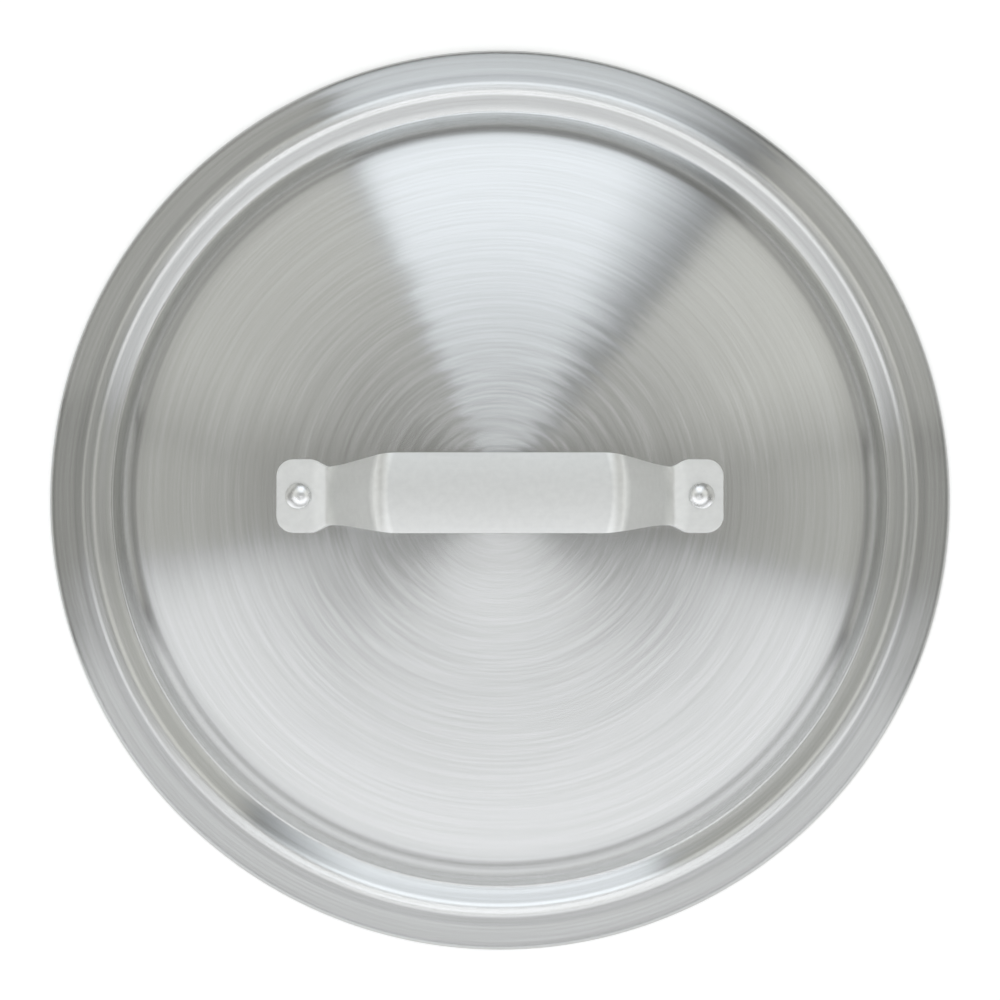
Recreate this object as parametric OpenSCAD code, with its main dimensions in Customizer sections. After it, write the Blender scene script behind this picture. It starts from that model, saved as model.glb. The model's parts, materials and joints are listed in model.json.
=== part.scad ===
// Domed cover for a brew kettle: a spun aluminium sheet, a pressed strap handle and two solid rivets.
// Millimetres, +Z up. The origin is on the cover's axis, level with the lower edge of its lip.

/* [Dome] */
// Diameter over the turned-down lip
cover_d = 324; // [270:1:390]
// Thickness of the aluminium sheet
sheet_t = 2; // [1.5:0.1:2.5]
// Height of the domed middle, from its shoulder to its crown
dome_rise = 16; // [12:0.5:22]
// Height of the side wall between the groove and the shoulder
wall_h = 8.5; // [7.5:0.5:11]
// Slope of the side wall
wall_slope = 53; // [48:1:60]
// Bend radius of the shoulder, at the middle of the sheet
shoulder_bend = 10; // [7:0.5:12]

/* [Rim] */
// Width of the sloping flange, from the lip to the seat
flange_w = 11.7; // [9:0.1:15]
// Slope of the flange
flange_slope = 20; // [14:1:24]
// Width of the level seat that rests on the kettle's brim
seat_w = 3; // [2:0.1:6]
// Depth of the locating groove below the seat
groove_depth = 3.8; // [3.2:0.1:4.6]
// Slope of the groove's outer side
groove_slope = 27; // [24:1:34]
// Bend radius at the bottom of the groove
groove_bend = 2.2; // [1.9:0.1:2.6]
// Bend radius on each side of the seat
seat_bend = 4.4; // [3:0.1:5.5]
// Bend radius where the flange turns down into the lip
lip_bend = 1.5; // [1.3:0.1:1.8]
// Height of the lip below the flange
lip_h = 3; // [2.4:0.1:4]

/* [Handle] */
// Distance between the two rivets
rivet_spacing = 142; // [118:0.1:172]
// Thickness of the strap
strap_t = 3; // [2.4:0.1:3.6]
// Clear height between the dome's crown and the grip
finger_gap = 28; // [22:0.5:34]
// Length of the level grip, corner to corner
grip_l = 82.4; // [70:0.2:96]
// Width of the grip
grip_w = 28; // [23:0.5:34]
// How far the grip's long edges curve down
grip_crown = 1.5; // [1:0.1:2.2]
// Width of the neck beside each foot
neck_w = 20.6; // [17:0.2:24]
// Width of each foot
foot_w = 26; // [22:0.5:31]
// Distance from a rivet to the foot's outer end
foot_out = 7.9; // [6.5:0.1:10]
// Distance from a rivet to the foot's inner bend
foot_in = 11.5; // [10:0.1:14]
// Radius of the foot's outer corners
foot_corner = 6; // [4:0.1:6.4]
// Length of the curve from the neck out to the foot's full width
foot_flare = 7.2; // [5:0.2:9]
// Bend radius between the grip and a leg
grip_bend = 5.5; // [4:0.5:8]
// Bend radius between a leg and its foot
foot_bend = 5; // [4:0.5:5.5]

/* [Rivets] */
// Diameter of the shank
rivet_d = 5; // [4:0.1:6]
// Diameter of the crowned head
head_d = 9; // [7.5:0.1:11]
// Height of the crowned head
head_h = 2.8; // [2.4:0.1:3.6]
// Radius of the head's crown
head_crown_r = 8; // [6.5:0.5:14]
// Diameter of the hammered tail under the cover
tail_d = 8; // [7:0.1:9.5]
// Thickness of the hammered tail
tail_h = 1.8; // [1.2:0.1:2.4]
// Gap between the shank and its hole
rivet_clearance = 0.05; // [0.02:0.01:0.1]

/* [Hidden] */
// Roundness of the bores and rivets
$fn = 96;
// Largest gap between a bend and the straight lines that draw it
bend_error = 0.012;
// Longest step along the strap, and along its feet where the outline curves
strap_step = 7;
foot_step = 1.2;
// Strips across the strap's width
strap_strips = 6;
// Length that a cutter reaches past the metal
past = 4;

// ---- A bent sheet, drawn as a line of corners with a bend radius at each ----

function heading(a, b) = atan2(b[1] - a[1], b[0] - a[0]);
function along(h) = [cos(h), sin(h)];
function aside(h) = [-sin(h), cos(h)];
function reversed(list) = [for (i = [len(list) - 1:-1:0]) list[i]];

// Points and headings round one bend, from the incoming to the outgoing straight
function bend(before, corner, after, radius) =
  let (
    h1 = heading(before, corner),
    turn = heading(corner, after) - h1,
    way = sign(turn),
    run = radius * tan(abs(turn) / 2),
    centre = corner - run * along(h1) + way * radius * aside(h1),
    steps = ceil(abs(turn) / (2 * acos(1 - bend_error / radius)))
  ) [
    for (k = [0:steps])
      let (h = h1 + turn * k / steps, p = centre - way * radius * aside(h)) [p[0], p[1], h]
  ];

// The sheet's middle line as [across, up, heading], with a bend at each inner corner
function middle_line(corners, radii) =
  let (
    n = len(corners) - 1,
    h_first = heading(corners[0], corners[1]),
    h_last = heading(corners[n - 1], corners[n])
  ) [
    [corners[0][0], corners[0][1], h_first],
    for (i = [1:n - 1]) each bend(corners[i - 1], corners[i], corners[i + 1], radii[i - 1]),
    [corners[n][0], corners[n][1], h_last]
  ];

// The outline of a sheet of thickness t about its middle line
function sheet_outline(line, t) = concat(
  [for (p = line) [p[0], p[1]] + t / 2 * aside(p[2])],
  reversed([for (p = line) [p[0], p[1]] - t / 2 * aside(p[2])])
);

// ---- The cover's section, from the crown out to the lip's lower edge ----

lip_r = (cover_d - sheet_t) / 2;
seat_out = lip_r - flange_w;
seat_in = seat_out - seat_w;
seat_z = lip_h + flange_w * tan(flange_slope);
groove_r = seat_in - groove_depth / tan(groove_slope);
groove_z = seat_z - groove_depth;
shoulder_r = groove_r - wall_h / tan(wall_slope);
shoulder_z = groove_z + wall_h;
crown_z = shoulder_z + dome_rise;
// The dome is one arc that stops short of the shoulder's bend
dome_run = (shoulder_r - shoulder_bend * tan(wall_slope / 2)) / 2;
dome_slope = atan(dome_rise / (shoulder_r - dome_run));
dome_bend = dome_run / tan(dome_slope / 2);

cover_line = middle_line(
  [
    [0, crown_z],
    [dome_run, crown_z],
    [shoulder_r, shoulder_z],
    [groove_r, groove_z],
    [seat_in, seat_z],
    [seat_out, seat_z],
    [lip_r, lip_h],
    [lip_r, 0]
  ],
  [dome_bend, shoulder_bend, groove_bend, seat_bend, seat_bend, lip_bend]
);

// ---- Where a rivet stands: on the dome's outer face, square to it ----

dome_out_r = dome_bend + sheet_t / 2;
rivet_x = rivet_spacing / 2;
rivet_tilt = asin(rivet_x / dome_out_r);
rivet_foot = [rivet_x, crown_z - dome_bend + dome_out_r * cos(rivet_tilt)];

// Puts children at a rivet: Z is the rivet's axis and 0 is the dome's outer face
module at_rivet(way) {
  mirror([way < 0 ? 1 : 0, 0, 0])
    translate([rivet_foot[0], 0, rivet_foot[1]])
      rotate([0, rivet_tilt, 0])
        children();
}

module rivet_hole(way) {
  at_rivet(way)
    translate([0, 0, -sheet_t - past])
      cylinder(d = rivet_d + 2 * rivet_clearance, h = sheet_t + strap_t + 2 * past);
}

// ---- The strap's line, from the middle of the grip out to the end of a foot ----

grip_z = crown_z + sheet_t / 2 + finger_gap + strap_t / 2;
foot_centre = rivet_foot + strap_t / 2 * aside(-rivet_tilt);
strap_corners = [
  [0, grip_z],
  [grip_l / 2, grip_z],
  foot_centre - foot_in * along(-rivet_tilt),
  foot_centre + foot_out * along(-rivet_tilt)
];
strap_bends = middle_line(strap_corners, [grip_bend, foot_bend]);

// Where along x the strap's width and section change
foot_end = strap_corners[3][0];
neck_x = strap_corners[2][0];
shoulder_x = strap_corners[1][0];

// From 0 at a to 1 at b, with level ends
function ease(a, b, x) = let (u = min(1, max(0, (x - a) / (b - a)))) u * u * (3 - 2 * u);

// Half of the strap's width at a distance x from the cover's axis
function half_width(x) =
  x > foot_end - foot_corner
  ? foot_w / 2 - foot_corner + sqrt(max(0, foot_corner ^ 2 - (x - foot_end + foot_corner) ^ 2))
  : x > neck_x
  ? neck_w / 2 + (foot_w - neck_w) / 2 * ease(neck_x, neck_x + foot_flare, x)
  : grip_w / 2 - (grip_w - neck_w) / 2 * ease(shoulder_x - grip_bend, neck_x, x);

// How far the strap's surface lies below its middle, at x along it and y across it
function crown_drop(x, y) = grip_crown * (1 - ease(shoulder_x, neck_x, x)) * (2 * y / grip_w) ^ 2;

// The line again, with points no further apart than the steps
strap_half = [
  for (i = [0:len(strap_bends) - 2])
    let (
      a = strap_bends[i],
      b = strap_bends[i + 1],
      step = a[0] > neck_x ? foot_step : strap_step,
      pieces = ceil(norm([b[0] - a[0], b[1] - a[1]]) / step)
    ) each [for (k = [0:pieces - 1]) a + (b - a) * k / pieces],
  strap_bends[len(strap_bends) - 1]
];
strap_line = concat(
  [for (p = reversed(strap_half)) if (p[0] > 0) [-p[0], p[1], -p[2]]],
  strap_half
);

function strap_point(p, across, face) =
  let (
    y = across * half_width(abs(p[0])),
    q = [p[0], p[1]] + (face * strap_t / 2 - crown_drop(abs(p[0]), y)) * aside(p[2])
  ) [q[0], y, q[1]];

// ---- The pieces ----

module cover() {
  color("gainsboro") difference() {
    rotate_extrude() polygon(sheet_outline(cover_line, sheet_t));
    rivet_hole(1);
    rivet_hole(-1);
  }
}

module handle() {
  rows = len(strap_line);
  ring = 2 * (strap_strips + 1);
  points = [
    for (p = strap_line)
      each concat(
        [for (j = [0:strap_strips]) strap_point(p, 2 * j / strap_strips - 1, 1)],
        [for (j = [strap_strips:-1:0]) strap_point(p, 2 * j / strap_strips - 1, -1)]
      )
  ];
  skin = [
    for (i = [0:rows - 2], j = [0:ring - 1])
      let (a = i * ring, b = a + ring, k = (j + 1) % ring)
        each [[a + j, b + k, b + j], [a + j, a + k, b + k]]
  ];
  last = (rows - 1) * ring;
  ends = [
    for (j = [0:strap_strips - 1])
      let (k = ring - 1 - j)
        each [
          [j, k, j + 1],
          [j + 1, k, k - 1],
          [last + j, last + j + 1, last + k],
          [last + j + 1, last + k - 1, last + k]
        ]
  ];
  color("whitesmoke") difference() {
    polyhedron(points, concat(skin, ends), convexity = 8);
    rivet_hole(1);
    rivet_hole(-1);
  }
}

// A solid rivet: a crowned head on the strap, a shank through both, and a hammered tail under the dome
module rivet(way) {
  dome_in_r = dome_out_r - sheet_t;
  // The dome's inner face falls this far away from the tail's middle at its edge
  tail_seat = dome_in_r - sqrt(dome_in_r ^ 2 - tail_d ^ 2 / 4) + bend_error;
  tail_z = -sheet_t - tail_seat;
  color("white") at_rivet(way) {
    translate([0, 0, tail_z - tail_h / 2])
      cylinder(d = rivet_d, h = strap_t - tail_z + tail_h / 2);
    translate([0, 0, strap_t]) intersection() {
      cylinder(d = head_d, h = head_h + past);
      translate([0, 0, head_h - head_crown_r]) sphere(r = head_crown_r);
    }
    translate([0, 0, tail_z - tail_h])
      cylinder(d = tail_d, h = tail_h);
  }
}

cover();
handle();
rivet(-1);  // rivet_left
rivet(1);  // rivet_right
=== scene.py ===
"""The domed aluminium cover of a brew kettle, with its strap handle and two rivets, on a white floor."""

import json
import math

import bmesh
import bpy
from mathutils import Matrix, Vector

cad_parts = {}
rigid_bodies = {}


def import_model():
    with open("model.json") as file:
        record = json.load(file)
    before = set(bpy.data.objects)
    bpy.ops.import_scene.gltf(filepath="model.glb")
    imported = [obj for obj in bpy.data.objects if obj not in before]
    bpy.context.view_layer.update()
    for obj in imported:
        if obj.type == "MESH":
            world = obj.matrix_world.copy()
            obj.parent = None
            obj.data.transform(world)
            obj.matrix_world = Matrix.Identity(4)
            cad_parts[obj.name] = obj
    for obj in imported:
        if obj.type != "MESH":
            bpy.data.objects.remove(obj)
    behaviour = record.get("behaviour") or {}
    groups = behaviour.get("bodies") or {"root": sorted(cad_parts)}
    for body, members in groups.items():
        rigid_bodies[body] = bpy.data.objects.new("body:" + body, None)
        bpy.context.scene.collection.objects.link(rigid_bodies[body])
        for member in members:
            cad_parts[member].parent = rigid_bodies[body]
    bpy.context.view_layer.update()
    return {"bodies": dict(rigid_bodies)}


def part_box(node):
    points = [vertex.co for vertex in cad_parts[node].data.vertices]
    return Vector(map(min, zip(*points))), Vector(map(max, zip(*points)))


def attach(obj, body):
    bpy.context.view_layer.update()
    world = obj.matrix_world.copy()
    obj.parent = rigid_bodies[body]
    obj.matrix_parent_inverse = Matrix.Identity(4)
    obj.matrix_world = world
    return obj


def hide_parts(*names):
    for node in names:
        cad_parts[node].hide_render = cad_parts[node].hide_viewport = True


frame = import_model()
BODY = next(iter(frame["bodies"]))
MM = 0.001

# ---- Camera -----------------------------------------------------------------------------------
# A long lens, almost straight above the cover's axis. It leans a touch towards the near side, so
# that what stands up, such as the grip, moves a little up the picture.

cover_low, cover_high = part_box("cover")
cover_radius = (cover_high.x - cover_low.x) / 2

camera_distance = 1.5
camera_lean = math.radians(2.0)
frame_per_cover = 1.1104  # the picture's width over the cover's diameter
aim = Vector((0, -0.6 * MM, 3 * MM))

camera = bpy.data.objects.new("camera", bpy.data.cameras.new("camera"))
bpy.context.scene.collection.objects.link(camera)
camera.data.sensor_width = 36
camera.data.lens = 18 * camera_distance / (cover_radius * frame_per_cover)
camera.location = aim + camera_distance * Vector((0, -math.sin(camera_lean), math.cos(camera_lean)))
camera.rotation_euler = (camera_lean, 0, 0)
bpy.context.scene.camera = camera

# ---- Studio -----------------------------------------------------------------------------------
# A white floor that the cover lies on, and a light tent over it: a bright cool panel behind, wide
# bright ones in front, dimmer ones at the sides, and grey card in between. The metal shows it all.


card_glow = 0.24


def linear(colour):
    """An sRGB hex colour as linear red, green, blue and alpha."""
    parts = [int(colour[i : i + 2], 16) / 255 for i in (1, 3, 5)]
    return [p / 12.92 if p <= 0.04045 else ((p + 0.055) / 1.055) ** 2.4 for p in parts] + [1]


def add(tree, kind, links=None, **settings):
    """Adds a node with its settings. links gives an input, by name or number, a socket or a value."""
    node = tree.nodes.new(kind)
    for name, value in settings.items():
        setattr(node, name, value)
    for name, value in (links or {}).items():
        if isinstance(value, bpy.types.NodeSocket):
            tree.links.new(value, node.inputs[name])
        else:
            node.inputs[name].default_value = value
    return node


def new_material(name):
    """A new material with no nodes yet, and its tree."""
    material = bpy.data.materials.new(name)
    material.use_nodes = True
    material.node_tree.nodes.clear()
    return material, material.node_tree


def show(name, mesh):
    """A new object for a mesh, in the scene."""
    piece = bpy.data.objects.new(name, mesh)
    bpy.context.scene.collection.objects.link(piece)
    return piece


def studio_floor():
    """White paper that glows a little, so that it reads white all over."""
    side = 4.0
    mesh = bpy.data.meshes.new("studio_floor")
    corners = [(-side, -side, 0), (side, -side, 0), (side, side, 0), (-side, side, 0)]
    mesh.from_pydata(corners, [], [(0, 1, 2, 3)])
    material, tree = new_material("white_paper_sweep")
    shader = add(
        tree,
        "ShaderNodeBsdfPrincipled",
        {
            "Base Color": linear("#F4F4F3"),
            "Roughness": 0.9,
            "Specular IOR Level": 0.1,
            "Emission Color": linear("#FFFFFF"),
            "Emission Strength": 0.4,
        },
    )
    add(tree, "ShaderNodeOutputMaterial", {"Surface": shader.outputs["BSDF"]})
    mesh.materials.append(material)
    show("studio_floor", mesh)


def tent_panel(name, turns, tilts, strength, colour, soft=(2, 2), rest=card_glow):
    """A glowing piece of the tent. It fills these turns round the cover's axis, counted from +X,
    and these tilts away from straight up, and fades to its rest at both ends of its turn, all in
    degrees."""
    reach, steps = 2.4, 32
    mesh = bpy.data.meshes.new(name)
    points = []
    glows = []
    for i in range(steps + 1):
        for j in range(steps + 1):
            turn = math.radians(turns[0] + (turns[1] - turns[0]) * i / steps)
            tilt = math.radians(tilts[0] + (tilts[1] - tilts[0]) * j / steps)
            flat = reach * math.sin(tilt)
            points.append((flat * math.cos(turn), flat * math.sin(turn), reach * math.cos(tilt)))
            degrees = math.degrees(turn)
            fade = min(1, (degrees - turns[0]) / soft[0], (turns[1] - degrees) / soft[1])
            glows.append(rest + (strength - rest) * max(0, fade))
    row = steps + 1
    faces = [
        (i * row + j, i * row + j + 1, (i + 1) * row + j + 1, (i + 1) * row + j)
        for i in range(steps)
        for j in range(steps)
    ]
    mesh.from_pydata(points, [], faces)
    mesh.attributes.new("glow", "FLOAT", "POINT").data.foreach_set("value", glows)
    material, tree = new_material(name + "_glow")
    level = add(tree, "ShaderNodeAttribute", attribute_name="glow").outputs["Fac"]
    glow = add(tree, "ShaderNodeEmission", {"Color": linear(colour), "Strength": level})
    add(tree, "ShaderNodeOutputMaterial", {"Surface": glow.outputs["Emission"]})
    mesh.materials.append(material)
    panel = show(name, mesh)
    panel.visible_camera = False


def grey_card(strength, colour):
    """The rest of the tent, as an even glow from all round."""
    world = bpy.data.worlds.new("grey_card")
    world.use_nodes = True
    world.node_tree.nodes.clear()
    glow = add(world.node_tree, "ShaderNodeBackground", {"Color": linear(colour), "Strength": strength})
    add(world.node_tree, "ShaderNodeOutputWorld", {"Surface": glow.outputs["Background"]})
    bpy.context.scene.world = world


studio_floor()
tent_panel("back_panel", (54, 113), (18, 51), 1.68, "#F4F9FF", soft=(16, 2))
tent_panel("front_top", (196, 344), (0, 10), 2.2, "#FBFCFF", soft=(24, 24))
tent_panel("front_high", (186, 350), (20, 44), 1.5, "#FBFCFF", soft=(8, 8), rest=0.88)
tent_panel("front_low", (196, 340), (60, 89), 1.3, "#FBFCFF", soft=(8, 8))
tent_panel("left_high", (113, 166), (20, 44), 0.9, "#FFFFFA", soft=(2, 14), rest=0.7)
tent_panel("left_far", (166, 186), (24, 42), 0.85, "#FFFFFA", soft=(4, 0.1), rest=0.7)
tent_panel("left_low", (112, 166), (60, 76), 0.8, "#FFFFFA")
tent_panel("left_corner", (166, 196), (69, 85), 0.7, "#FFFFFA")
tent_panel("right_high", (12, 54), (20, 46), 1.0, "#FFFFFA", soft=(14, 2), rest=0.72)
tent_panel("right_far", (-10, 12), (24, 42), 0.88, "#FFFFFA", soft=(0.1, 4), rest=0.72)
tent_panel("right_low", (10, 52), (60, 76), 0.8, "#FFFFFA", soft=(4, 4))
tent_panel("right_corner", (-20, 10), (69, 85), 0.7, "#FFFFFA")
grey_card(card_glow, "#FFFFFA")
bpy.context.scene.view_settings.view_transform = "Standard"

# ---- Cover ------------------------------------------------------------------------------------
# One disc of aluminium sheet, spun over a form on a lathe: a domed middle, a side wall, a groove
# that drops inside the kettle's mouth, a level seat for its brim, a sloping flange and a lip.
# It is brushed in circles while it still turns.

sheet_t = 2.0 * MM
wall_h = 8.5 * MM
wall_slope = math.radians(53)
shoulder_bend = 10.0 * MM
flange_w = 11.7 * MM
flange_slope = math.radians(20)
seat_w = 3.0 * MM
groove_depth = 3.8 * MM
groove_slope = math.radians(27)
groove_bend = 2.2 * MM
seat_bend = 4.4 * MM
lip_bend = 1.5 * MM
lip_h = 3.0 * MM


def cover_corners():
    """The middle of the sheet, from the crown out to the lip: (out, up, bend radius, bend steps)."""
    lip_r = cover_radius - sheet_t / 2
    seat_out = lip_r - flange_w
    seat_in = seat_out - seat_w
    seat_z = lip_h + flange_w * math.tan(flange_slope)
    groove_z = seat_z - groove_depth
    groove_r = seat_in - groove_depth / math.tan(groove_slope)
    shoulder_r = groove_r - wall_h / math.tan(wall_slope)
    shoulder_z = groove_z + wall_h
    crown_z = cover_high.z - sheet_t / 2
    run = (shoulder_r - shoulder_bend * math.tan(wall_slope / 2)) / 2
    slope = math.atan((crown_z - shoulder_z) / (shoulder_r - run))
    return [
        (0, crown_z, 0, 1),
        (run, crown_z, run / math.tan(slope / 2), 40),
        (shoulder_r, shoulder_z, shoulder_bend, 12),
        (groove_r, groove_z, groove_bend, 12),
        (seat_in, seat_z, seat_bend, 8),
        (seat_out, seat_z, seat_bend, 7),
        (lip_r, lip_h, lip_bend, 10),
        (lip_r, 0, 0, 1),
    ]


def section_line(name, corners):
    """The corners as one line of edges in the XZ plane, with each corner's bend on it."""
    mesh = bpy.data.meshes.new(name)
    mesh.from_pydata([(c[0], 0, c[1]) for c in corners], [(i, i + 1) for i in range(len(corners) - 1)], [])
    mesh.attributes.new("bend", "FLOAT", "POINT").data.foreach_set("value", [c[2] for c in corners])
    mesh.attributes.new("steps", "INT", "POINT").data.foreach_set("value", [c[3] for c in corners])
    return mesh


def spin_tree():
    """Geometry nodes that round a section line's corners and spin it about Z, as a lathe does."""
    tree = bpy.data.node_groups.new("spin", "GeometryNodeTree")
    sockets = [
        ("Section", "INPUT", "NodeSocketGeometry"),
        ("Turn steps", "INPUT", "NodeSocketInt"),
        ("Metal", "INPUT", "NodeSocketMaterial"),
        ("Spun", "OUTPUT", "NodeSocketGeometry"),
    ]
    for name, way, kind in sockets:
        tree.interface.new_socket(name, in_out=way, socket_type=kind)
    asked = add(tree, "NodeGroupInput").outputs

    bend = add(tree, "GeometryNodeInputNamedAttribute", {"Name": "bend"}, data_type="FLOAT")
    steps = add(tree, "GeometryNodeInputNamedAttribute", {"Name": "steps"}, data_type="INT")
    line = add(tree, "GeometryNodeMeshToCurve", {"Mesh": asked["Section"]})
    rounded = add(
        tree,
        "GeometryNodeFilletCurve",
        {
            "Curve": line.outputs["Curve"],
            "Radius": bend.outputs["Attribute"],
            "Count": steps.outputs["Attribute"],
        },
        mode="POLY",
    )
    points = add(tree, "GeometryNodeCurveToPoints", {"Curve": rounded.outputs["Curve"]}, mode="EVALUATED")
    size = add(
        tree,
        "GeometryNodeAttributeDomainSize",
        {"Geometry": points.outputs["Points"]},
        component="POINTCLOUD",
    )
    along = size.outputs["Point Count"]
    around = add(tree, "ShaderNodeMath", {0: asked["Turn steps"], 1: 1.0}, operation="ADD")
    grid = add(
        tree,
        "GeometryNodeMeshGrid",
        {"Size X": 1.0, "Size Y": 1.0, "Vertices X": around.outputs[0], "Vertices Y": along},
    )

    # A grid's points are numbered along each column in turn
    number = add(tree, "GeometryNodeInputIndex").outputs["Index"]
    middle = add(tree, "ShaderNodeMath", {0: number, 1: 0.5}, operation="ADD")
    share = add(tree, "ShaderNodeMath", {0: middle.outputs[0], 1: along}, operation="DIVIDE")
    column = add(tree, "ShaderNodeMath", {0: share.outputs[0]}, operation="FLOOR")
    passed = add(tree, "ShaderNodeMath", {0: column.outputs[0], 1: along}, operation="MULTIPLY")
    place = add(tree, "ShaderNodeMath", {0: number, 1: passed.outputs[0]}, operation="SUBTRACT")
    spot = add(
        tree,
        "GeometryNodeSampleIndex",
        {
            "Geometry": points.outputs["Points"],
            "Value": add(tree, "GeometryNodeInputPosition").outputs["Position"],
            "Index": place.outputs[0],
        },
        data_type="FLOAT_VECTOR",
    )
    one_step = add(tree, "ShaderNodeMath", {0: 2 * math.pi, 1: asked["Turn steps"]}, operation="DIVIDE")
    angle = add(tree, "ShaderNodeMath", {0: column.outputs[0], 1: one_step.outputs[0]}, operation="MULTIPLY")
    turned = add(
        tree,
        "ShaderNodeVectorRotate",
        {"Vector": spot.outputs["Value"], "Angle": angle.outputs[0]},
        rotation_type="Z_AXIS",
    )
    spun = add(
        tree,
        "GeometryNodeSetPosition",
        {"Geometry": grid.outputs["Mesh"], "Position": turned.outputs["Vector"]},
    )
    closed = add(
        tree,
        "GeometryNodeMergeByDistance",
        {"Geometry": spun.outputs["Geometry"], "Distance": 0.002 * MM},
    )
    smooth = add(tree, "GeometryNodeSetShadeSmooth", {"Geometry": closed.outputs["Geometry"]})
    real = add(tree, "GeometryNodeRealizeInstances", {"Geometry": smooth.outputs["Geometry"]})
    metal = add(
        tree,
        "GeometryNodeSetMaterial",
        {"Geometry": real.outputs["Geometry"], "Material": asked["Metal"]},
    )
    add(tree, "NodeGroupOutput", {"Spun": metal.outputs["Geometry"]})
    return tree


def grown(name, start, tree, **values):
    """Runs geometry nodes on a starting mesh and gives the result as a plain mesh."""
    seed = show(name, start)
    modifier = seed.modifiers.new(name, "NODES")
    modifier.node_group = tree
    for item in tree.interface.items_tree:
        if item.in_out == "INPUT" and item.name in values:
            modifier[item.identifier] = values[item.name]
    seed.update_tag()
    graph = bpy.context.evaluated_depsgraph_get()
    mesh = bpy.data.meshes.new_from_object(seed.evaluated_get(graph), depsgraph=graph)
    bpy.data.objects.remove(seed)
    mesh.name = name
    return mesh


def point_outwards(mesh):
    """Merges doubles and turns every face's normal out."""
    shape = bmesh.new()
    shape.from_mesh(mesh)
    bmesh.ops.remove_doubles(shape, verts=shape.verts, dist=0.001 * MM)
    bmesh.ops.recalc_face_normals(shape, faces=shape.faces)
    if sum(f.normal.z * f.calc_area() for f in shape.faces) < 0:
        bmesh.ops.reverse_faces(shape, faces=shape.faces)
    shape.to_mesh(mesh)
    shape.free()


def ranged(tree, value, seen, given):
    """A value that runs over the seen range, moved to the given range and held at its ends."""
    ends = {"From Min": seen[0], "From Max": seen[1], "To Min": given[0], "To Max": given[1]}
    return add(tree, "ShaderNodeMapRange", {"Value": value, **ends}).outputs["Result"]


def two_tone(tree, value, low, high):
    """A colour that runs between two stops, each a value and an sRGB hex colour."""
    ramp = add(tree, "ShaderNodeValToRGB", {"Fac": value})
    for element, (position, colour) in zip(ramp.color_ramp.elements, (low, high)):
        element.position = position
        element.color = linear(colour)
    return ramp.outputs["Color"]


def shaded(tree, colour, distance, span, stops):
    """A colour made duller by distance: each stop is a distance in mm and an sRGB hex shade. The
    span in mm is what the ramp covers, and the first shade holds from its start."""
    first, last = span
    share = ranged(tree, distance, (first * MM, last * MM), (0, 1))
    ramp = add(tree, "ShaderNodeValToRGB", {"Fac": share})
    elements = ramp.color_ramp.elements
    elements.remove(elements[1])
    elements[0].color = linear(stops[0][1])
    for stop, shade in stops:
        elements.new((stop - first) / (last - first)).color = linear(shade)
    links = {0: 1.0, 6: colour, 7: ramp.outputs["Color"]}
    return add(tree, "ShaderNodeMix", links, data_type="RGBA", blend_type="MULTIPLY").outputs[2]


def finish_metal(tree, colour, rough, bump, **more):
    """Ends a metal's tree in its shader."""
    links = {"Base Color": colour, "Metallic": 1.0, "Roughness": rough, "Normal": bump.outputs["Normal"]}
    shader = add(tree, "ShaderNodeBsdfPrincipled", {**links, **more})
    add(tree, "ShaderNodeOutputMaterial", {"Surface": shader.outputs["BSDF"]})


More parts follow.
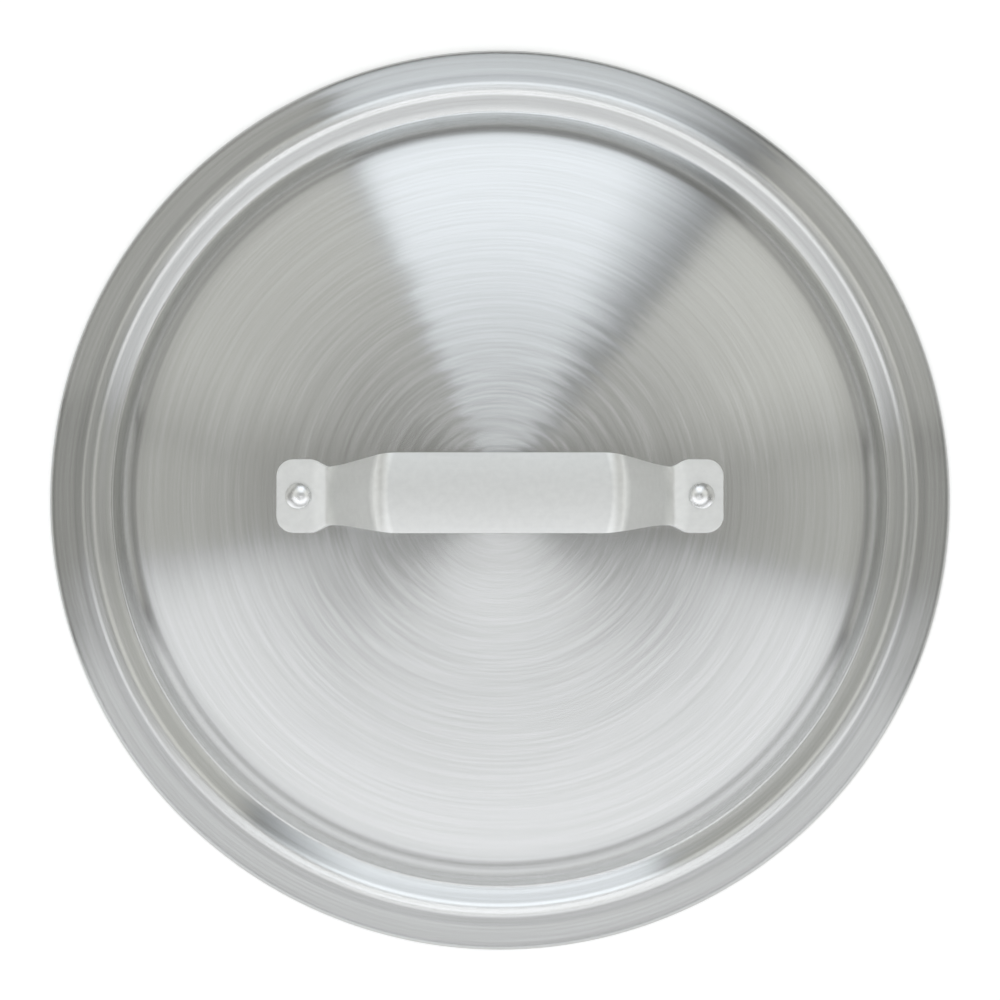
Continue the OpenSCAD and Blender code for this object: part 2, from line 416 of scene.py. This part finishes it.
def spun_aluminium():
    """Spun aluminium, brushed in circles with abrasive pads as it turns. The fine rings smear each
    light into a fan that runs in to the middle, and each cut is a little deeper or paler. Rings of painted
    highlight and painted shade lie over it."""
    material, tree = new_material("spun_aluminium_brushed_in_circles")
    place = add(tree, "ShaderNodeTexCoord").outputs["Object"]
    flat = add(tree, "ShaderNodeVectorMath", {0: place, 1: (1, 1, 0)}, operation="MULTIPLY")
    out = add(tree, "ShaderNodeVectorMath", {0: flat.outputs["Vector"]}, operation="NORMALIZE")
    radius = add(tree, "ShaderNodeVectorMath", {0: flat.outputs["Vector"]}, operation="LENGTH")
    across = add(
        tree,
        "ShaderNodeVectorMath",
        {0: (0, 0, 1), 1: out.outputs["Vector"]},
        operation="CROSS_PRODUCT",
    )

    def rings(width, detail, breaks):
        """Rings of about this width, in metres. The more breaks, the shorter each streak."""
        turn = add(
            tree,
            "ShaderNodeVectorMath",
            {0: out.outputs["Vector"], "Scale": breaks},
            operation="SCALE",
        )
        count = add(tree, "ShaderNodeMath", {0: radius.outputs["Value"], 1: 1 / width}, operation="MULTIPLY")
        climb = add(tree, "ShaderNodeCombineXYZ", {"Z": count.outputs[0]})
        spot = add(tree, "ShaderNodeVectorMath", {0: turn.outputs["Vector"], 1: climb.outputs["Vector"]})
        links = {"Vector": spot.outputs["Vector"], "Scale": 1.0, "Detail": detail, "Roughness": 0.6}
        return add(tree, "ShaderNodeTexNoise", links).outputs["Fac"]

    # Real brush marks are much finer; these are coarser, so that they show in the picture
    fine = rings(0.9 * MM, 3.0, 1.8)
    broad = rings(2.6 * MM, 1.0, 1.35)

    # The brush wanders off the true circle by a few degrees, ring by ring
    most_wander = 0.1
    wander = ranged(tree, broad, (0.35, 0.65), (-most_wander, most_wander))
    skew = add(
        tree,
        "ShaderNodeVectorMath",
        {0: across.outputs["Vector"], "Scale": wander},
        operation="SCALE",
    )
    lean = add(tree, "ShaderNodeVectorMath", {0: out.outputs["Vector"], 1: skew.outputs["Vector"]})
    tangent = add(tree, "ShaderNodeVectorMath", {0: lean.outputs["Vector"]}, operation="NORMALIZE")

    # How pale the metal reads at each distance from the axis. These are chosen looks of painted
    # highlight and painted shade, ring by ring, that stand in for small errors of slope and light. The
    # crest over the brim has the brightest painted highlight; the shoulder, the flange's inner edge and the
    # lip the darkest painted shade.
    painted_ring_stops = [
        (125.0, "#E0E0E0"),
        (132.5, "#D1D1D1"),
        (134.6, "#D1D1D1"),
        (136.0, "#E0E0E0"),
        (138.3, "#E6E6E6"),
        (139.3, "#EEEEEE"),
        (140.6, "#EAEAEA"),
        (142.0, "#DDDDDD"),
        (144.6, "#DDDDDD"),
        (146.0, "#FBFBFB"),
        (148.3, "#FCFCFC"),
        (150.2, "#D0D0D0"),
        (152.4, "#CFCFCF"),
        (154.0, "#E0E0E0"),
        (159.6, "#E0E0E0"),
        (160.6, "#CFCFCF"),
    ]
    tone = two_tone(tree, fine, (0.36, "#EBECEA"), (0.64, "#F4F5F4"))
    # Painted highlight and painted shade on the sheet, by distance from the axis
    painted_rings = shaded(tree, tone, radius.outputs["Value"], (120, 162), painted_ring_stops)
    rough = ranged(tree, fine, (0.3, 0.7), (0.2, 0.215))
    bump = add(tree, "ShaderNodeBump", {"Height": fine, "Strength": 0.06, "Distance": 0.05 * MM})
    finish_metal(tree, painted_rings, rough, bump, Anisotropic=1.0, Tangent=tangent.outputs["Vector"])
    return material


spin = spin_tree()
cover_metal = spun_aluminium()
cover_mesh = grown(
    "spun_cover",
    section_line("cover_section", cover_corners()),
    spin,
    **{"Turn steps": 288, "Metal": cover_metal},
)
point_outwards(cover_mesh)
cover = show("spun_cover", cover_mesh)
wall = cover.modifiers.new("sheet", "SOLIDIFY")
wall.thickness = sheet_t
wall.offset = 0
wall.use_even_offset = True
edge = cover.modifiers.new("broken_edges", "BEVEL")
edge.width = 0.3 * MM
edge.segments = 2
edge.limit_method = "ANGLE"
edge.angle_limit = math.radians(50)
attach(cover, BODY)
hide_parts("cover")

# ---- Handle -----------------------------------------------------------------------------------
# A strip of aluminium, blanked with a wider foot at each end, pressed so that the grip is crowned
# and comfortable, and bent twice at each side. Tumbling rounds its edges and leaves it satin.

strap_t = 3.0 * MM
grip_l = 82.4 * MM
grip_w = 28.0 * MM
grip_crown = 1.5 * MM
neck_w = 20.6 * MM
foot_w = 26.0 * MM
foot_out = 7.9 * MM
foot_in = 11.5 * MM
foot_corner = 6.0 * MM
foot_flare = 7.2 * MM
grip_bend = 5.5 * MM
foot_bend = 5.0 * MM
rivet_x = 71.0 * MM

# The dome's outer face is part of a ball, so each foot lies square to that ball's radius
corners = cover_corners()
dome_r = corners[1][2] + sheet_t / 2
dome_centre = Vector((0, 0, cover_high.z - dome_r))
rivet_tilt = math.asin(rivet_x / dome_r)
rivet_foot = dome_centre + dome_r * Vector((math.sin(rivet_tilt), 0, math.cos(rivet_tilt)))


def strap_path():
    """The middle of the strap, from the grip's middle out to a foot's end: (out, up, slope)."""
    grip_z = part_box("handle")[1].z - strap_t / 2
    along_foot = Vector((math.cos(rivet_tilt), -math.sin(rivet_tilt)))
    off_dome = Vector((math.sin(rivet_tilt), math.cos(rivet_tilt)))
    foot = Vector((rivet_foot.x, rivet_foot.z)) + strap_t / 2 * off_dome
    stops = [
        Vector((0, grip_z)),
        Vector((grip_l / 2, grip_z)),
        foot - foot_in * along_foot,
        foot + foot_out * along_foot,
    ]
    path = [(0.0, stops[0].y, 0.0)]
    bend_steps = 14
    for before, corner, after, radius in zip(stops, stops[1:], stops[2:], (grip_bend, foot_bend)):
        first = math.atan2(corner.y - before.y, corner.x - before.x)
        turn = math.atan2(after.y - corner.y, after.x - corner.x) - first
        way = math.copysign(1, turn)
        run = radius * math.tan(abs(turn) / 2)
        start = corner - run * Vector((math.cos(first), math.sin(first)))
        centre = start + way * radius * Vector((-math.sin(first), math.cos(first)))
        for k in range(bend_steps + 1):
            slope = first + turn * k / bend_steps
            spot = centre - way * radius * Vector((-math.sin(slope), math.cos(slope)))
            path.append((spot.x, spot.y, slope))
    # Along the foot, the stops follow its outline: the flare, the straight and the round corner
    neck, end = stops[2].x, stops[3].x
    last = path[-1][0]
    corner_steps, flare_steps = 10, 12
    marks = [neck + foot_flare * k / flare_steps for k in range(1, flare_steps + 1)]
    for k in range(corner_steps + 1):
        marks.append(end - foot_corner * (1 - math.sin(math.pi / 2 * k / corner_steps)))
    least_step = 0.2 * MM
    for x in sorted(set(round(m, 7) for m in marks)):
        if x > last + least_step:
            path.append((x, stops[2].y + (x - neck) * math.tan(-rivet_tilt), -rivet_tilt))
    return path, stops


def ease(a, b, x):
    """From 0 at a to 1 at b, with level ends."""
    u = min(1, max(0, (x - a) / (b - a)))
    return u * u * (3 - 2 * u)


def half_width(x, stops):
    """Half of the strap's width at a distance x from the cover's axis."""
    shoulder, neck, end = (s.x for s in stops[1:])
    if x > end - foot_corner:
        along = min(x - end + foot_corner, foot_corner)
        return foot_w / 2 - foot_corner + math.sqrt(foot_corner**2 - along**2)
    if x > neck:
        return neck_w / 2 + (foot_w - neck_w) / 2 * ease(neck, neck + foot_flare, x)
    return grip_w / 2 - (grip_w - neck_w) / 2 * ease(shoulder - grip_bend, neck, x)


def strap_mesh():
    """The strap as one closed mesh: its section swept along its path, with a cap at each end."""
    path, stops = strap_path()
    fine = [path[0]]
    longest = 2.5 * MM
    for a, b in zip(path, path[1:]):
        pieces = max(1, math.ceil(math.dist(a[:2], b[:2]) / longest))
        fine += [tuple(p + (q - p) * k / pieces for p, q in zip(a, b)) for k in range(1, pieces + 1)]
    whole = [(-x, z, -slope) for x, z, slope in reversed(fine[1:])] + fine

    strips = 12
    ring = 2 * (strips + 1)
    points = []
    for x, z, slope in whole:
        fade = 1 - ease(stops[1].x, stops[2].x, abs(x))
        for face in (1, -1):
            for j in range(strips + 1):
                y = (2 * j / strips - 1) * face * half_width(abs(x), stops)
                up = face * strap_t / 2 - grip_crown * fade * (2 * y / grip_w) ** 2
                points.append((x - up * math.sin(slope), y, z + up * math.cos(slope)))
    faces = []
    for i in range(len(whole) - 1):
        a, b = i * ring, (i + 1) * ring
        faces += [(a + j, a + (j + 1) % ring, b + (j + 1) % ring, b + j) for j in range(ring)]
    for start in (0, (len(whole) - 1) * ring):
        far = start + ring - 1
        faces += [(start + j, start + j + 1, far - 1 - j, far - j) for j in range(strips)]
    mesh = bpy.data.meshes.new("strap_handle")
    mesh.from_pydata(points, [], faces)
    mesh.polygons.foreach_set("use_smooth", [True] * len(faces))
    shape = bmesh.new()
    shape.from_mesh(mesh)
    bmesh.ops.recalc_face_normals(shape, faces=shape.faces)
    shape.to_mesh(mesh)
    shape.free()
    return mesh


def pressed_aluminium():
    """Pressed aluminium strip, tumbled with stones: a soft satin with a faint grain along the strip and
    a few shallow dings, under painted highlight on the bends and painted shade on the legs."""
    material, tree = new_material("pressed_aluminium_tumbled_satin")
    place = add(tree, "ShaderNodeTexCoord").outputs["Object"]
    strip = add(tree, "ShaderNodeMapping", {"Vector": place, "Scale": (60, 1400, 60)})
    grain = add(tree, "ShaderNodeTexNoise", {"Vector": strip.outputs["Vector"], "Scale": 1.0, "Detail": 3.0})
    peen = add(tree, "ShaderNodeTexNoise", {"Vector": place, "Scale": 420.0, "Detail": 2.0})
    both = add(tree, "ShaderNodeMath", {0: grain.outputs["Fac"], 1: peen.outputs["Fac"]}, operation="ADD")
    tone = two_tone(tree, peen.outputs["Fac"], (0.3, "#F1F2F0"), (0.7, "#F7F8F6"))

    # How pale the strip reads along its length, from the handle's middle. These too are chosen looks:
    # painted highlight on the bends and painted shade on the legs, and each bend's band of painted
    # highlight bows out at the middle of the strip.
    painted_bend_stops = [
        (38.6, "#F0F0F0"),
        (39.8, "#FFFFFF"),
        (44.0, "#FFFFFF"),
        (45.8, "#E7E7E7"),
        (58.0, "#E9E9E9"),
        (61.5, "#FFFFFF"),
        (65.5, "#FFFFFF"),
        (68.0, "#F6F6F6"),
    ]
    bow_per_metre = 12.0
    spot = add(tree, "ShaderNodeSeparateXYZ", {"Vector": place})
    out = add(tree, "ShaderNodeMath", {0: spot.outputs["X"]}, operation="ABSOLUTE")
    side = add(tree, "ShaderNodeMath", {0: spot.outputs["Y"], 1: 2.0}, operation="POWER")
    bowed = add(
        tree,
        "ShaderNodeMath",
        {0: side.outputs[0], 1: bow_per_metre, 2: out.outputs[0]},
        operation="MULTIPLY_ADD",
    )
    # Painted highlight on the bends and painted shade on the legs, by distance along the strip
    pressed = shaded(tree, tone, bowed.outputs[0], (30, 80), painted_bend_stops)
    rough = ranged(tree, both.outputs[0], (0.7, 1.3), (0.48, 0.56))
    bump = add(tree, "ShaderNodeBump", {"Height": both.outputs[0], "Strength": 0.1, "Distance": 0.04 * MM})
    finish_metal(tree, pressed, rough, bump)
    return material


handle = show("strap_handle", strap_mesh())
handle.data.materials.append(pressed_aluminium())
edge = handle.modifiers.new("tumbled_edges", "BEVEL")
edge.width = 0.6 * MM
edge.segments = 4
edge.limit_method = "ANGLE"
edge.angle_limit = math.radians(40)
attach(handle, BODY)
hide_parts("handle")

# ---- Rivets -----------------------------------------------------------------------------------
# Two solid aluminium rivets, one through each foot. The head is crowned and bright, and the other
# end was hammered flat against the inside of the dome.

rivet_d = 5.0 * MM
head_d = 9.0 * MM
head_h = 2.8 * MM
head_crown_r = 8.0 * MM
tail_d = 8.0 * MM
tail_h = 1.8 * MM
tail_seat = 0.03 * MM


def rivet_corners():
    """Half of a rivet's section, from the crown down to the tail; 0 is the dome's outer face."""
    top = strap_t + head_h
    edge_slope = math.asin(head_d / 2 / head_crown_r)
    edge_drop = head_crown_r * (1 - math.cos(edge_slope))
    bottom = -sheet_t - tail_seat
    # A little under the whole crown, which leaves room for the round at the head's edge
    crown_bend = 0.93 * head_crown_r
    return [
        (0, top, 0, 1),
        (head_crown_r * math.tan(edge_slope / 2), top, crown_bend, 14),
        (head_d / 2, top - edge_drop, 0.3 * MM, 5),
        (head_d / 2, strap_t, 0, 1),
        (rivet_d / 2, strap_t, 0, 1),
        (rivet_d / 2, bottom, 0, 1),
        (tail_d / 2, bottom, 0.2 * MM, 3),
        (tail_d / 2, bottom - tail_h, 0.7 * MM, 6),
        (0, bottom - tail_h, 0, 1),
    ]


def rivet_tree():
    """Geometry nodes that stand one rivet on each point, square to the dome."""
    tree = bpy.data.node_groups.new("rivets", "GeometryNodeTree")
    sockets = [
        ("Places", "INPUT", "NodeSocketGeometry"),
        ("Rivet", "INPUT", "NodeSocketObject"),
        ("Dome centre", "INPUT", "NodeSocketVector"),
        ("Metal", "INPUT", "NodeSocketMaterial"),
        ("Rivets", "OUTPUT", "NodeSocketGeometry"),
    ]
    for name, way, kind in sockets:
        tree.interface.new_socket(name, in_out=way, socket_type=kind)
    asked = add(tree, "NodeGroupInput").outputs
    place = add(tree, "GeometryNodeInputPosition").outputs["Position"]
    outward = add(tree, "ShaderNodeVectorMath", {0: place, 1: asked["Dome centre"]}, operation="SUBTRACT")
    square = add(tree, "FunctionNodeAlignRotationToVector", {"Vector": outward.outputs["Vector"]}, axis="Z")
    rivet = add(tree, "GeometryNodeObjectInfo", {"Object": asked["Rivet"]})
    stood = add(
        tree,
        "GeometryNodeInstanceOnPoints",
        {
            "Points": asked["Places"],
            "Instance": rivet.outputs["Geometry"],
            "Rotation": square.outputs["Rotation"],
        },
    )
    real = add(tree, "GeometryNodeRealizeInstances", {"Geometry": stood.outputs["Instances"]})
    metal = add(
        tree,
        "GeometryNodeSetMaterial",
        {"Geometry": real.outputs["Geometry"], "Material": asked["Metal"]},
    )
    add(tree, "NodeGroupOutput", {"Rivets": metal.outputs["Geometry"]})
    return tree


def rivet_aluminium():
    """Soft aluminium rivet wire: bright where the set struck it, with faint hammer marks."""
    material, tree = new_material("rivet_aluminium_bright")
    place = add(tree, "ShaderNodeTexCoord").outputs["Object"]
    marks = add(tree, "ShaderNodeTexNoise", {"Vector": place, "Scale": 500.0, "Detail": 2.0}).outputs["Fac"]
    tone = two_tone(tree, marks, (0.0, "#E6E7E6"), (1.0, "#F1F2F1"))
    rough = ranged(tree, marks, (0.3, 0.7), (0.26, 0.34))
    bump = add(tree, "ShaderNodeBump", {"Height": marks, "Strength": 0.2, "Distance": 0.1 * MM})
    finish_metal(tree, tone, rough, bump)
    return material


rivet_metal = rivet_aluminium()
one_rivet_mesh = grown(
    "one_rivet",
    section_line("rivet_section", rivet_corners()),
    spin,
    **{"Turn steps": 64, "Metal": rivet_metal},
)
point_outwards(one_rivet_mesh)
one_rivet = show("one_rivet", one_rivet_mesh)
rivet_places = bpy.data.meshes.new("rivet_places")
rivet_places.from_pydata([tuple(rivet_foot), (-rivet_foot.x, rivet_foot.y, rivet_foot.z)], [], [])
rivets_mesh = grown(
    "rivets",
    rivet_places,
    rivet_tree(),
    **{"Rivet": one_rivet, "Dome centre": tuple(dome_centre), "Metal": rivet_metal},
)
bpy.data.objects.remove(one_rivet)
rivets = show("rivets", rivets_mesh)
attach(rivets, BODY)
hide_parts("rivet_left", "rivet_right")

bpy.context.view_layer.update()
